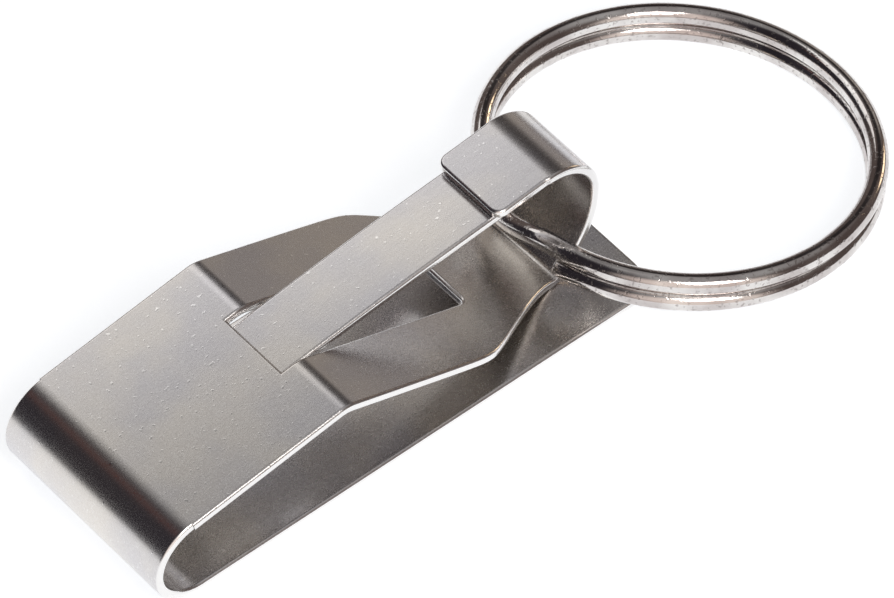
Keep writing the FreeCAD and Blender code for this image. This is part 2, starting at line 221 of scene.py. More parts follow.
@dataclass(frozen=True)
class SatinNickel:
    """Nickel plate over rolled spring steel: fine grain, pinpricks that glint, and polished rims
    that also carry a painted highlight.
    """

    warm: Colour = (0.70, 0.665, 0.625, 1)
    cool: Colour = (0.60, 0.585, 0.60, 1)
    glint: Colour = (0.95, 0.95, 0.93, 1)
    # The rims' lighter colour is a painted highlight on the rounded edges; their lower roughness is
    # polish.
    rim: Colour = (0.86, 0.85, 0.84, 1)
    cloud_range: tuple[float, float] = (0.35, 0.65)
    grain_range: tuple[float, float] = (0.45, 0.68)
    prick_range: tuple[float, float] = (0.68, 0.76)
    rim_highlight_range: tuple[float, float] = (0.2, 0.9)
    grain_share: float = 0.22
    prick_share: float = 0.28
    roughness: float = 0.26
    rim_roughness: float = 0.20
    grain_rough: float = 0.10
    scratch_rough: float = 0.05
    prick_polish: float = 0.12
    cloud_scale: float = 90.0
    grain_scale: float = 5200.0
    prick_scale: float = 2300.0
    scratch_scale: tuple[float, float, float] = (150.0, 4200.0, 4200.0)
    grain_height: float = 2.2e-6
    scratch_height: float = 0.5
    prick_height: float = 1.4

    def build(self) -> bpy.types.Material:
        """Return the plate's material."""
        material, graph, shader = new_material("satin_nickel_plate")
        place = graph.place()
        edge = graph.node("ShaderNodeAttribute", {"attribute_name": "rim"})
        rim = graph.value(edge.outputs["Fac"])
        clouds = graph.noise(place, self.cloud_scale, 3.0)
        grain = graph.noise(place, self.grain_scale, 3.0, 0.65)
        scratches = graph.noise(graph.stretched(place, self.scratch_scale), 1.0, 2.0)
        pricks = graph.noise(place, self.prick_scale, 1.0).between(*self.prick_range)
        colour = graph.mix(clouds.between(*self.cloud_range), self.cool, self.warm)
        colour = graph.mix(grain.between(*self.grain_range) * self.grain_share, colour, self.glint)
        colour = graph.mix(pricks * self.prick_share, colour, self.glint)
        # Painted highlight: the rounded rims are mixed towards the lighter rim colour.
        colour = graph.mix(rim.between(*self.rim_highlight_range), colour, self.rim)
        graph.feed(shader.inputs["Base Color"], colour)
        shader.inputs["Metallic"].default_value = 1.0
        rough = self.roughness + (grain - NOISE_MIDDLE) * self.grain_rough
        rough = rough + (scratches - NOISE_MIDDLE) * self.scratch_rough - pricks * self.prick_polish
        rough = rough + rim * (self.rim_roughness - self.roughness)
        graph.feed(shader.inputs["Roughness"], rough)
        height = grain + scratches * self.scratch_height + pricks * self.prick_height
        graph.bump(shader, height, self.grain_height)
        return material


@dataclass(frozen=True)
class BrightNickel:
    """Bright nickel plate on drawn wire, slightly uneven and with small dark pits."""

    pale: Colour = (0.76, 0.74, 0.72, 1)
    dull: Colour = (0.52, 0.48, 0.47, 1)
    dark: Colour = (0.24, 0.21, 0.20, 1)
    roughness: float = 0.11
    cloud_scale: float = 240.0
    pit_scale: float = 2600.0
    grain_scale: float = 7000.0
    cloud_range: tuple[float, float] = (0.3, 0.7)
    pit_range: tuple[float, float] = (0.56, 0.70)
    cloud_rough: float = 0.10
    pit_rough: float = 0.18
    grain_rough: float = 0.06
    pit_depth: float = 6.0e-6
    grain_height: float = 0.35
    cloud_height: float = 2.0
    pit_share: float = 0.55

    def build(self) -> bpy.types.Material:
        """Return the ring's material."""
        material, graph, shader = new_material("bright_nickel_wire")
        place = graph.place()
        clouds = graph.noise(place, self.cloud_scale, 3.0)
        pits = graph.noise(place, self.pit_scale, 2.0).between(*self.pit_range)
        grain = graph.noise(place, self.grain_scale, 2.0)
        colour = graph.mix(clouds.between(*self.cloud_range), self.dull, self.pale)
        colour = graph.mix(pits * self.pit_share, colour, self.dark)
        graph.feed(shader.inputs["Base Color"], colour)
        shader.inputs["Metallic"].default_value = 1.0
        rough = self.roughness + (clouds - NOISE_MIDDLE) * self.cloud_rough
        rough = rough + pits * self.pit_rough + (grain - NOISE_MIDDLE) * self.grain_rough
        graph.feed(shader.inputs["Roughness"], rough)
        height = grain * self.grain_height - pits + clouds * self.cloud_height
        graph.bump(shader, height, self.pit_depth)
        return material


@dataclass(frozen=True)
class MattePaper:
    """Pale, faintly fibrous paper under the clip."""

    colour: Colour = (0.62, 0.635, 0.65, 1)
    glow: float = 1.15
    fibre_scale: float = 900.0
    roughness: float = 0.85
    fibre_rough: float = 0.1

    def build(self) -> bpy.types.Material:
        """Return the floor's material."""
        material, graph, shader = new_material("pale_paper")
        place = graph.place()
        fibres = graph.noise(place, self.fibre_scale, 4.0)
        shader.inputs["Base Color"].default_value = self.colour
        shader.inputs["Emission Color"].default_value = self.colour
        shader.inputs["Emission Strength"].default_value = self.glow
        rough = self.roughness + (fibres - NOISE_MIDDLE) * self.fibre_rough
        graph.feed(shader.inputs["Roughness"], rough)
        return material


# ------------------------------------------------------------------ side profiles

@dataclass(frozen=True)
class Run:
    """A straight stretch of the strip's side profile."""

    length: float

    @property
    def turn(self) -> float:
        """A straight stretch doesn't turn."""
        return 0.0


@dataclass(frozen=True)
class Turn:
    """A bend of the side profile: left is positive, seen from -Y, in degrees."""

    radius: float
    degrees: float

    @property
    def turn(self) -> float:
        """The bend's turn in radians."""
        return math.radians(self.degrees)

    @property
    def length(self) -> float:
        """The bend's length along the middle of the sheet."""
        return abs(self.turn) * self.radius


@dataclass(frozen=True)
class Pose:
    """A place on a side profile: x and z in metres, heading in degrees."""

    x: float
    z: float
    heading: float


@dataclass(frozen=True)
class Profile:
    """A chain of runs and turns that the middle of the sheet follows in the XZ plane."""

    start: Pose
    steps: tuple[Run | Turn, ...]

    def breaks(self) -> np.ndarray:
        """Return the distances along the profile at which its steps start, and its whole length."""
        return np.concatenate([[0.0], np.cumsum([step.length for step in self.steps])])

    def at(self, s: np.ndarray) -> tuple[np.ndarray, np.ndarray, np.ndarray]:
        """Follow the profile.

        Each step has a constant curvature, so x and z are the integrals of the cosine and sine of
        a heading that grows in proportion to the distance.

        Args:
            s: Distances along the middle of the sheet.

        Returns:
            The x, z and heading, in radians, at each distance.
        """
        breaks = self.breaks()
        bend = np.array([step.turn / step.length for step in self.steps])
        turns = np.array([step.turn for step in self.steps])
        first = math.radians(self.start.heading) + np.concatenate([[0.0], np.cumsum(turns)[:-1]])
        whole = np.diff(breaks)
        x_steps, z_steps = arc_ends(whole, first, bend)
        x_first = self.start.x + np.concatenate([[0.0], np.cumsum(x_steps)[:-1]])
        z_first = self.start.z + np.concatenate([[0.0], np.cumsum(z_steps)[:-1]])
        which = np.clip(np.searchsorted(breaks, s, side="right") - 1, 0, len(self.steps) - 1)
        along = s - breaks[which]
        x_along, z_along = arc_ends(along, first[which], bend[which])
        heading = first[which] + bend[which] * along
        return x_first[which] + x_along, z_first[which] + z_along, heading

    def end(self) -> Pose:
        """Return the pose at the profile's end."""
        x, z, heading = self.at(self.breaks()[-1:])
        return Pose(float(x[0]), float(z[0]), math.degrees(float(heading[0])))


def arc_ends(
    length: np.ndarray, heading: np.ndarray, bend: np.ndarray
) -> tuple[np.ndarray, np.ndarray]:
    """Return how far stretches of constant curvature reach in x and z.

    A chord is the arc's length times sin(a)/a, where a is half the arc's turn, and lies at the
    heading at the arc's middle.
    """
    half = bend * length / 2
    chord = length * np.sinc(half / np.pi)
    return chord * np.cos(heading + half), chord * np.sin(heading + half)


# ------------------------------------------------------------------ sheet

@dataclass(frozen=True)
class Blank:
    """A piece of sheet before it is folded: a grid of places on the strip, less its cut-outs."""

    s: np.ndarray
    w: np.ndarray
    kept: np.ndarray
    seam: np.ndarray

    def corners(self) -> np.ndarray:
        """Return the four grid indices of each kept cell, anticlockwise seen from outside."""
        index = np.arange(self.s.size).reshape(self.s.shape)
        quads = np.stack([index[:-1, :-1], index[1:, :-1], index[1:, 1:], index[:-1, 1:]], axis=-1)
        return quads[self.kept]

    def rim_edges(self, quads: np.ndarray) -> np.ndarray:
        """Return the directed edges that only one cell has, with the sheet on their left."""
        edges = np.concatenate([quads[:, [k, (k + 1) % 4]] for k in range(4)])
        forward = edges[:, 0] * self.s.size + edges[:, 1]
        backward = edges[:, 1] * self.s.size + edges[:, 0]
        return edges[~np.isin(forward, backward)]

    def outward(self, edges: np.ndarray) -> np.ndarray:
        """Return how far each grid place moves per unit of offset, so that every edge moves by one.

        An edge's outward normal is its direction turned clockwise.  Where two edges meet, the
        place moves by the sum of their normals over one plus their dot product.  Seams stay.
        """
        flat_s = self.s.ravel()
        flat_w = self.w.ravel()
        along = flat_s[edges[:, 1]] - flat_s[edges[:, 0]]
        across = flat_w[edges[:, 1]] - flat_w[edges[:, 0]]
        normal = np.stack([across, -along], axis=1) / np.hypot(along, across)[:, None]
        seam = self.seam.ravel()
        normal[seam[edges[:, 0]] & seam[edges[:, 1]]] = 0.0
        leaving = np.zeros((self.s.size, 2))
        arriving = np.zeros((self.s.size, 2))
        leaving[edges[:, 0]] = normal
        arriving[edges[:, 1]] = normal
        together = np.sum(leaving * arriving, axis=1, keepdims=True)
        return (leaving + arriving) / (1 + together)


@dataclass(frozen=True)
class Sheet:
    """Sheet of one thickness with rounded edges, folded along a side profile."""

    thick: float = 1.0 * MM
    edge: float = 0.35 * MM
    edge_rows: int = 5

    def rows(self, used: np.ndarray, rim: np.ndarray) -> tuple[np.ndarray, np.ndarray, np.ndarray]:
        """Return each vertex's grid place, its turn down the rounded edge and its side.

        The upper face comes first, then the rim's rows from the top down, then the lower face.
        """
        turn = np.linspace(0.0, RIGHT_ANGLE, self.edge_rows + 1)[1:]
        turns = np.concatenate([np.repeat(turn, rim.size), np.repeat(turn[::-1], rim.size)])
        sides = np.repeat([1.0, -1.0], self.edge_rows * rim.size)
        places = np.concatenate([used, np.tile(rim, 2 * self.edge_rows), used])
        turns = np.concatenate([np.zeros(used.size), turns, np.zeros(used.size)])
        sides = np.concatenate([np.ones(used.size), sides, -np.ones(used.size)])
        return places, turns, sides

    def faces(self, grid_size: int, quads: np.ndarray, edges: np.ndarray) -> np.ndarray:
        """Return the skin's faces: the upper face, the lower face turned over, and the rim."""
        used = np.unique(quads)
        rim = np.unique(edges)
        where = np.full(grid_size, -1)
        where[used] = np.arange(used.size)
        rim_where = np.full(grid_size, -1)
        rim_where[rim] = np.arange(rim.size)
        row_count = 2 * self.edge_rows
        below = used.size + row_count * rim.size
        rows = [where[rim]]
        rows += [used.size + k * rim.size + np.arange(rim.size) for k in range(row_count)]
        rows.append(below + where[rim])
        faces = [where[quads], below + where[quads][:, ::-1]]
        first = rim_where[edges[:, 0]]
        last = rim_where[edges[:, 1]]
        for upper, lower in zip(rows, rows[1:]):
            faces.append(np.stack([upper[last], upper[first], lower[first], lower[last]], axis=1))
        return np.concatenate(faces)

    def mesh(self, name: str, blank: Blank, profile: Profile) -> bpy.types.Object:
        """Fold a blank into a closed skin.

        A place (s, w, h) on the strip, with h its height above the middle of the sheet, goes to
        the profile's point at s, plus h along the profile's normal, plus w across.  The skin is
        the blank at half the thickness above and below, joined round its rim by rows that turn
        through a quarter circle: at angle a from the face they stand out by edge*sin(a) and lie
        edge*(1 - cos(a)) below it.

        Args:
            name: The piece's name.
            blank: The unfolded piece, drawn smaller all round by the edge's radius.
            profile: The side profile that the middle of the sheet follows.

        Returns:
            The new object.
        """
        quads = blank.corners()
        edges = blank.rim_edges(quads)
        places, turns, sides = self.rows(np.unique(quads), np.unique(edges))
        push = blank.outward(edges)[places] * np.sin(turns)[:, None]
        s = blank.s.ravel()[places] + self.edge * push[:, 0]
        w = blank.w.ravel()[places] + self.edge * push[:, 1]
        h = sides * (self.thick / 2 - self.edge * (1 - np.cos(turns)))
        x, z, heading = profile.at(s)
        along = np.stack([np.cos(heading), np.zeros_like(s), np.sin(heading)], axis=1)
        up = np.stack([-np.sin(heading), np.zeros_like(s), np.cos(heading)], axis=1)
        points = np.stack([x, w, z], axis=1) + h[:, None] * up
        normals = push[:, :1] * along + sides[:, None] * np.cos(turns)[:, None] * up
        normals[:, 1] += push[:, 1]
        normals /= np.linalg.norm(normals, axis=1, keepdims=True)
        faces = self.faces(blank.s.size, quads, edges)
        piece = new_piece(name, points, faces, normals, np.stack([s, w], axis=1))
        shade = piece.data.attributes.new("rim", "FLOAT", "POINT")
        shade.data.foreach_set("value", np.sin(turns).astype(np.float32))
        return piece


def new_piece(
    name: str, points: np.ndarray, faces: np.ndarray, normals: np.ndarray, places: np.ndarray
) -> bpy.types.Object:
    """Make an object from quads.

    Args:
        name: The object's name.
        points: One position per vertex.
        faces: Four vertex indices per face.
        normals: One normal per vertex.
        places: Distance along and across the material per vertex, in metres, kept as its UV map.

    Returns:
        The new object, at the origin.
    """
    mesh = bpy.data.meshes.new(name)
    mesh.from_pydata(points.tolist(), [], faces.tolist())
    mesh.shade_smooth()
    uv = mesh.uv_layers.new(name="strip")
    uv.uv.foreach_set("vector", places[faces.ravel()].astype(np.float32).ravel())
    mesh.normals_split_custom_set_from_vertices(normals.tolist())
    mesh.validate()
    piece = bpy.data.objects.new(name, mesh)
    bpy.context.scene.collection.objects.link(piece)
    LOG.info("%s: %d vertices, %d faces", name, len(points), len(faces))
    return piece


def stations(stops: Sequence[float], steps: Sequence[float]) -> np.ndarray:
    """Return distances from each stop to the next, no further apart than that stretch's step."""
    parts = [np.array(stops[:1])]
    for low, high, step in zip(stops, stops[1:], steps):
        count = max(1, math.ceil((high - low) / step - TINY))
        parts.append(np.linspace(low, high, count + 1)[1:])
    return np.concatenate(parts)


def softly(low: np.ndarray, high: np.ndarray, blur: float) -> np.ndarray:
    """Return the smaller of two values, with the corner between them rounded over by blur."""
    return (low + high - np.sqrt((low - high) ** 2 + blur * blur)) / 2


def rounded_end(
    half: float, length: float, corner: float, step: float, corner_steps: int = 12
) -> tuple[np.ndarray, np.ndarray]:
    """Return stations along a strip with a rounded free end, and its half width at each.

    The corners are quarter circles at equal angles: at angle a the station is corner*sin(a) past
    their start, and the strip is corner*(1 - cos(a)) narrower each side.
    """
    start = length - corner
    turn = np.linspace(0.0, RIGHT_ANGLE, corner_steps + 1)[1:]
    s = np.concatenate([stations([0.0, start], [step]), start + corner * np.sin(turn)])
    width = np.full(s.size, half)
    width[-turn.size:] -= corner * (1 - np.cos(turn))
    return s, width


def plain_blank(s: np.ndarray, half: np.ndarray, columns: int, seams: tuple[bool, bool]) -> Blank:
    """Return a blank without holes.

    Args:
        s: Stations along the strip.
        half: The half width at each.
        columns: How many cells across.
        seams: Whether the first and the last station meet another piece.

    Returns:
        The blank.
    """
    across = np.linspace(-1.0, 1.0, columns + 1)
    seam = np.zeros((s.size, across.size), bool)
    seam[0] = seams[0]
    seam[-1] = seams[1]
    kept = np.ones((s.size - 1, columns), bool)
    return Blank(np.repeat(s[:, None], across.size, axis=1), half[:, None] * across, kept, seam)


# ------------------------------------------------------------------ the strip

@dataclass(frozen=True)
class Strip:
    """The folded strip: its sizes, its side profiles and its pieces."""

    sheet: Sheet = Sheet()
    finish: SatinNickel = SatinNickel()
    half_width: float = 11.0 * MM
    back_corner: float = 3.7 * MM
    bend_radius: float = 4.6 * MM
    rise_angle: float = 8.4
    rise_length: float = 17.2 * MM
    crease_radius: float = 3.0 * MM
    fall_angle: float = 20.0
    pinch_height: float = 1.6703 * MM
    shoulder_reach: float = 12.4 * MM
    taper_angle: float = 29.8
    shoulder_blur: float = 0.7 * MM
    neck_blur: float = 1.9 * MM
    half_neck: float = 4.45 * MM
    window_reach: float = 10.1 * MM
    window_corner: float = 0.8 * MM
    half_window: float = 3.9 * MM
    window_start: float = 15.85 * MM
    root_flex: float = 6.0 * MM
    half_tongue: float = 3.7 * MM
    anchor_length: float = 9.0 * MM
    tip_cover: float = 3.1 * MM
    tip_gap: float = 0.1 * MM
    end_corner: float = 1.2 * MM
    toe: Turn = Turn(1.5 * MM, 60.0)
    toe_length: float = 1.0 * MM
    hook_back: Turn = Turn(10.1 * MM, 52.0)
    hook_top: Turn = Turn(5.2 * MM, 94.0)
    lip_length: float = 6.1 * MM
    wide_columns: int = 22
    tongue_columns: int = 10
    flat_columns: int = 5
    corner_columns: int = 8
    side_columns: int = 10
    nose_lead: float = 0.5 * MM
    nose_share: float = 0.45
    ease_length: float = 9.0 * MM
    bow_length: float = 5.0 * MM
    jaw_steps: tuple[float, ...] = (1.0, 0.15, 0.15, 0.8, 0.4, 0.25, 0.12, 0.25, 0.25, 0.22)

    def bend_profile(self) -> Profile:
        """Return the U-bend's profile, from the back plate's edge up to the front leaf."""
        edge = Pose(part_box("back_plate")[0].x, self.sheet.thick / 2, 180.0)
        return Profile(edge, (Turn(self.bend_radius, self.rise_angle - 180),))

    def leaf_profile(self) -> Profile:
        """Return the profile from the spring bend over the crease down to the pinch."""
        rise = Profile(
            self.bend_profile().end(),
            (Run(self.rise_length), Turn(self.crease_radius, -self.rise_angle - self.fall_angle)))
        drop = rise.end().z - self.pinch_height
        fall = Run(drop / math.sin(math.radians(self.fall_angle)))
        return Profile(rise.start, rise.steps + (fall,))

    def jaw_profile(self) -> Profile:
        """Return the profile of the front leaf and the hook, up to the lip's end."""
        leaf = self.leaf_profile()
        hook = (self.toe, Run(self.toe_length), self.hook_back, self.hook_top, Run(self.lip_length))
        return Profile(leaf.start, leaf.steps + hook)

    def tongue_root(self) -> Pose:
        """Return where the tongue's free length starts, one sheet below the window's start."""
        x, z, heading = self.leaf_profile().at(np.array([self.window_start]))
        lean = float(heading[0])
        return Pose(
            float(x[0]) + self.sheet.thick * math.sin(lean),
            float(z[0]) - self.sheet.thick * math.cos(lean),
            math.degrees(lean))

    def tongue_profile(self) -> Profile:
        """Return the tongue's profile.

        It starts flat against the front leaf's underside and then bows, along the circle that
        leaves its root along the leaf and passes just under the end of the lip: the chord lies
        half the bow's turn below the first heading.
        """
        root = self.tongue_root()
        lip = self.jaw_profile().end()
        lean = math.radians(lip.heading - 180)
        below = self.sheet.thick + self.tip_gap
        across = lip.x + below * math.sin(lean) - root.x
        up = lip.z - below * math.cos(lean) - root.z
        half = root.heading - math.degrees(math.atan2(up, across))
        radius = math.hypot(across, up) / 2 / math.sin(math.radians(half))
        bow = 2 * half + math.degrees(self.tip_cover / radius)
        slope = math.radians(root.heading)
        start = Pose(
            root.x - self.anchor_length * math.cos(slope),
            root.z - self.anchor_length * math.sin(slope),
            root.heading)
        return Profile(start, (Run(self.anchor_length), Turn(radius, -bow)))

    def back_blank(self) -> Blank:
        """Return the back plate's blank, square at the spring bend and rounded at its free end."""
        low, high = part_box("back_plate")
        edge = self.sheet.edge
        s, half = rounded_end(
            self.half_width - edge, high.x - low.x - edge, self.back_corner - edge, 1.0 * MM)
        return plain_blank(s, half, self.wide_columns, (True, False))

    def half_outline(self, s: np.ndarray) -> np.ndarray:
        """Return the jaw's half width: full, then tapering softly to the neck."""
        pinch = self.leaf_profile().breaks()[-1]
        slope = math.tan(math.radians(self.taper_angle))
        taper = self.half_width - (s - pinch + self.shoulder_reach) * slope
        shoulder = softly(np.full_like(s, self.half_width), taper, self.shoulder_blur)
        return -softly(-shoulder, np.full_like(s, -self.half_neck), self.neck_blur)

    def window_end(self) -> float:
        """Return where the corner arcs at the window's end start along the jaw."""
        return self.leaf_profile().breaks()[-1] - self.window_reach - self.window_corner

    def jaw_stations(self) -> tuple[np.ndarray, np.ndarray]:
        """Return the jaw's stations, closest where it bends, and its half width at each."""
        edge = self.sheet.edge
        breaks = self.jaw_profile().breaks()
        pinch = breaks[3]
        lip = breaks[-2]
        stops = [
            0.0, self.window_start, breaks[1], breaks[2], self.window_end(),
            pinch - self.nose_lead, *breaks[3:-1]]
        length, width = rounded_end(
            self.half_neck - edge, breaks[-1] - edge - lip, self.end_corner - edge, 0.5 * MM)
        leaf = stations(stops, [step * MM for step in self.jaw_steps])
        s = np.concatenate([leaf, lip + length[1:]])
        half = self.half_outline(s) - edge
        half[-width.size:] = np.minimum(half[-width.size:], width)
        return s, half

    def jaw_columns(self) -> tuple[np.ndarray, np.ndarray]:
        """Return each column's share across the jaw, and how far the window's end bows there.

        A share from 0 to 1 is a part of the window's half width, and one from 1 to 2 spreads on
        from there to the outline.
        """
        corner = self.window_corner + self.sheet.edge
        side = self.half_window + self.sheet.edge
        turn = np.linspace(0.0, RIGHT_ANGLE, self.corner_columns + 1)
        flat = np.linspace(0.0, side - corner, self.flat_columns + 1)[:-1]
        inner = np.concatenate([flat, side - corner + corner * np.sin(turn)])
        arc = np.concatenate([np.full(flat.size, corner), corner * np.cos(turn)])
        spread = np.linspace(0.0, 1.0, self.side_columns + 1)[1:]
        shares = np.concatenate([inner / side, 1 + spread])
        bow = np.concatenate([arc, np.zeros(spread.size)])
        return np.concatenate([-shares[:0:-1], shares]), np.concatenate([bow[:0:-1], bow])

    def jaw_blank(self) -> Blank:
        """Return the blank of the front leaf and the hook, with the tongue's window.

        Across the window's width the columns keep their distance from the middle, closer together
        towards its sides.  Beyond it they spread evenly to the outline.  The row that ends the
        window follows its two corner arcs, and the next few rows ease back to straight.
        """
        s, half = self.jaw_stations()
        shares, bow = self.jaw_columns()
        window_end = self.window_end()
        side = self.half_window + self.sheet.edge
        reach = np.abs(shares)
        ease = np.clip((s - window_end) / self.ease_length, 0, 1)[:, None]
        ease = ease * ease * (3 - 2 * ease)
        inner_side = side * (1 - ease) + self.nose_share * half[:, None] * ease
        held = inner_side * np.minimum(reach, 1)
        w = np.sign(shares) * (held + (half[:, None] - inner_side) * np.clip(reach - 1, 0, 1))
        fade = np.clip(1 - (s - window_end) / self.bow_length, 0, 1)
        fade[s < window_end - TINY] = 0.0
        s_grid = s[:, None] + fade[:, None] * bow
        first = int(np.argmin(np.abs(s - self.window_start)))
        last = int(np.argmin(np.abs(s - window_end)))
        inside = np.abs((shares[:-1] + shares[1:]) / 2) < 1
        kept = np.ones((s.size - 1, shares.size - 1), bool)
        kept[first:last, inside] = False
        seam = np.zeros(s_grid.shape, bool)
        seam[0] = True
        return Blank(s_grid, w, kept, seam)

    def tongue_blank(self) -> Blank:
        """Return the tongue's blank, square at its hidden end and rounded at its tip."""
        edge = self.sheet.edge
        length = self.tongue_profile().breaks()[-1]
        s, half = rounded_end(
            self.half_tongue - edge, length - edge, self.end_corner - edge, 0.3 * MM)
        return plain_blank(s, half, self.tongue_columns, (True, False))

    def build(self) -> list[bpy.types.Object]:
        """Make the strip's pieces and fasten the back plate and the jaw to their bodies; the spring
        bend and the tongue stay where they are made.

        Returns:
            The pieces.
        """
        bend = self.bend_profile()
        leaf = self.leaf_profile()
        low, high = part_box("back_plate")
        flat = Profile(Pose(low.x, self.sheet.thick / 2, 0.0), (Run(high.x - low.x),))
        back = self.sheet.mesh("back_plate_skin", self.back_blank(), flat)
        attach(back, Body.BACK.value)
        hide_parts("back_plate")

        s = stations([0.0, bend.breaks()[-1]], [0.2 * MM])
        half = np.full(s.size, self.half_width - self.sheet.edge)
        curl = plain_blank(s, half, self.wide_columns, (True, True))
        fold = self.sheet.mesh("spring_bend_skin", curl, bend)
        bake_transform(fold)
        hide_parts("spring_bend")

        jaw = self.sheet.mesh("front_leaf_and_hook_skin", self.jaw_blank(), self.jaw_profile())
        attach(jaw, Body.JAW.value)
        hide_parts("front_leaf", "ring_hook")

        tongue = self.sheet.mesh("spring_tongue_skin", self.tongue_blank(), self.tongue_profile())
        root = self.tongue_root()
        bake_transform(tongue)
        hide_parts("tongue_anchor", "spring_tongue")
        return [back, fold, jaw, tongue]

    def dress(self, pieces: Sequence[bpy.types.Object]) -> None:
        """Give the pieces their finish."""
        material = self.finish.build()
        for piece in pieces:
            piece.data.materials.append(material)


# ------------------------------------------------------------------ the split ring

@dataclass(frozen=True)
class SplitRing:
    """Two turns of wire side by side, with a step from the lower to the upper."""

    finish: BrightNickel = BrightNickel()
    radius: float = 18.5 * MM
    wire: float = 1.0 * MM
    half_pitch: float = 1.05 * MM
    step_middle: float = 177.0
    step_half: float = 14.5
    tilt: float = 7.1629
    roll: float = -2.6
    end_round: float = 0.3 * MM
    sides: int = 28
    rows: int = 460
    round_rows: int = 5
    face_shares: tuple[float, ...] = (0.02, 0.35, 0.7)
    flat_lean: float = 1e3

    def place(self) -> Matrix:
        """Return the ring's pose, from the joint through the wire inside the hook."""
        joint = next(joint for joint in frame["joints"] if joint["name"] == "ring_swing")
        tilt = math.radians(self.tilt)
        out = Vector((math.cos(tilt), 0.0, -math.sin(tilt))) * self.radius
        turn = Matrix.Rotation(tilt, 4, "Y") @ Matrix.Rotation(math.radians(self.roll), 4, "X")
        return Matrix.Translation(Vector(joint["pos_m"]) + out) @ turn

    def stretch(self) -> tuple[np.ndarray, np.ndarray]:
        """Return angles along the wire, in radians, and the wire's radius at each.

        The radius is constant, and at both cut ends it shrinks over a quarter circle and then
        runs in across the flat end.
        """
        first = math.radians(self.step_middle + self.step_half)
        last = first + math.radians(720.0 - 2 * self.step_half)
        turn = np.linspace(0.0, RIGHT_ANGLE, self.round_rows + 1)
        face = np.array(self.face_shares) * (self.wire - self.end_round)
        end_radius = np.concatenate([face, self.wire - self.end_round * (1 - np.sin(turn))])
        inset = np.concatenate([np.zeros(face.size), self.end_round * (1 - np.cos(turn))])
        inset = inset / self.radius
        middle = np.linspace(first + inset[-1], last - inset[-1], self.rows)[1:-1]
        angles = np.concatenate([first + inset, middle, last - inset[::-1]])
        radii = np.concatenate([end_radius, np.full(middle.size, self.wire), end_radius[::-1]])
        return angles, radii

    def path(self, angles: np.ndarray) -> tuple[np.ndarray, np.ndarray, np.ndarray]:
        """Follow the middle of the wire.

        It goes round a circle from the step's end on the lower coil to the step's start on the
        upper one.  Its height is minus half the pitch before the step and plus half the pitch
        after it, with half a cosine between them.

        Args:
            angles: Angles round the ring, in radians.

        Returns:
            At each angle the wire's middle, the direction out from the ring's middle and the
            path's own direction.
        """
        begin = math.radians(360 + self.step_middle - self.step_half)
        span = math.radians(2 * self.step_half)
        share = np.clip((angles - begin) / span, 0, 1)
        height = -self.half_pitch * np.cos(math.pi * share)
        climb = self.half_pitch * math.pi / span * np.sin(math.pi * share)
        flat = np.zeros_like(angles)
        out = np.stack([np.cos(angles), np.sin(angles), flat], axis=1)
        ahead = np.stack(
            [-self.radius * np.sin(angles), self.radius * np.cos(angles), climb], axis=1)
        ahead /= np.linalg.norm(ahead, axis=1, keepdims=True)
        return self.radius * out + np.stack([flat, flat, height], axis=1), out, ahead

    def lean(self, angles: np.ndarray, radii: np.ndarray) -> np.ndarray:
        """Return how steeply the wire's radius grows along it, as good as endless on its ends."""
        lean = np.gradient(radii) / np.maximum(np.gradient(angles * self.radius), TINY)
        flat = radii < self.wire - self.end_round + TINY
        lean[flat] = np.sign(lean[flat]) * self.flat_lean
        return lean

    def build(self) -> bpy.types.Object:
        """Make the wire.

        The section is a circle square to the wire's path: its first axis points out from the
        ring's middle and its second is the path's direction crossed with the first.

        Returns:
            The piece.
        """
        angles, radii = self.stretch()
        middle, out, ahead = self.path(angles)
        rise = np.cross(out, ahead)
        around = np.linspace(0.0, 2 * math.pi, self.sides, endpoint=False)
        first_axis = out[:, None] * np.cos(around)[None, :, None]
        normals = first_axis + rise[:, None] * np.sin(around)[None, :, None]
        points = middle[:, None] + normals * radii[:, None, None]
        normals = normals - self.lean(angles, radii)[:, None, None] * ahead[:, None]
        place = self.place()
        turn = np.array(place.to_3x3())
        points = points.reshape(-1, 3) @ turn.T + np.array(place.translation)
        normals = normals.reshape(-1, 3) @ turn.T
        normals /= np.linalg.norm(normals, axis=1, keepdims=True)
        index = np.arange(len(points)).reshape(angles.size, self.sides)
        after = np.roll(index, -1, axis=1)
        faces = np.stack([index[:-1], index[1:], after[1:], after[:-1]], axis=-1).reshape(-1, 4)
        along = np.repeat(angles * self.radius, self.sides)
        round_it = np.tile(around * self.wire, angles.size)
        places = np.stack([along, round_it], axis=1)
        ring = new_piece("split_ring_wire", points, faces, normals, places)
        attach(ring, Body.RING.value)
        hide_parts("split_ring")
        return ring

    def dress(self, ring: bpy.types.Object) -> None:
        """Give the ring its finish."""
        ring.data.materials.append(self.finish.build())


# ------------------------------------------------------------------ studio

@dataclass(frozen=True)
class Softbox:
    """A rectangular area light, aimed at the clip."""

    name: str
    azimuth: float
    elevation: float
    distance: float
    size: tuple[float, float]
    radiance: float
    colour: tuple[float, float, float] = (1.0, 1.0, 1.0)
    offset: tuple[float, float, float] = (0.0, 0.0, 0.0)

    def build(self, aim: Vector) -> None:
        """Add the light.  Its power is pi times its radiance times its area."""
        lamp = bpy.data.lights.new(self.name, "AREA")
        lamp.shape = "RECTANGLE"
        lamp.size, lamp.size_y = self.size
        lamp.energy = math.pi * self.radiance * self.size[0] * self.size[1]
        lamp.color = self.colour
        light = bpy.data.objects.new(self.name, lamp)
        out = direction(self.azimuth, self.elevation)
        light.location = aim + out * self.distance + Vector(self.offset)
        light.rotation_euler = out.to_track_quat("Z", "Y").to_euler()
        bpy.context.scene.collection.objects.link(light)


@dataclass(frozen=True)
class Glow:
    """A soft-edged round patch of the surroundings, brighter or darker than the rest."""

    azimuth: float
    elevation: float
    inner: float
    outer: float
    colour: Colour


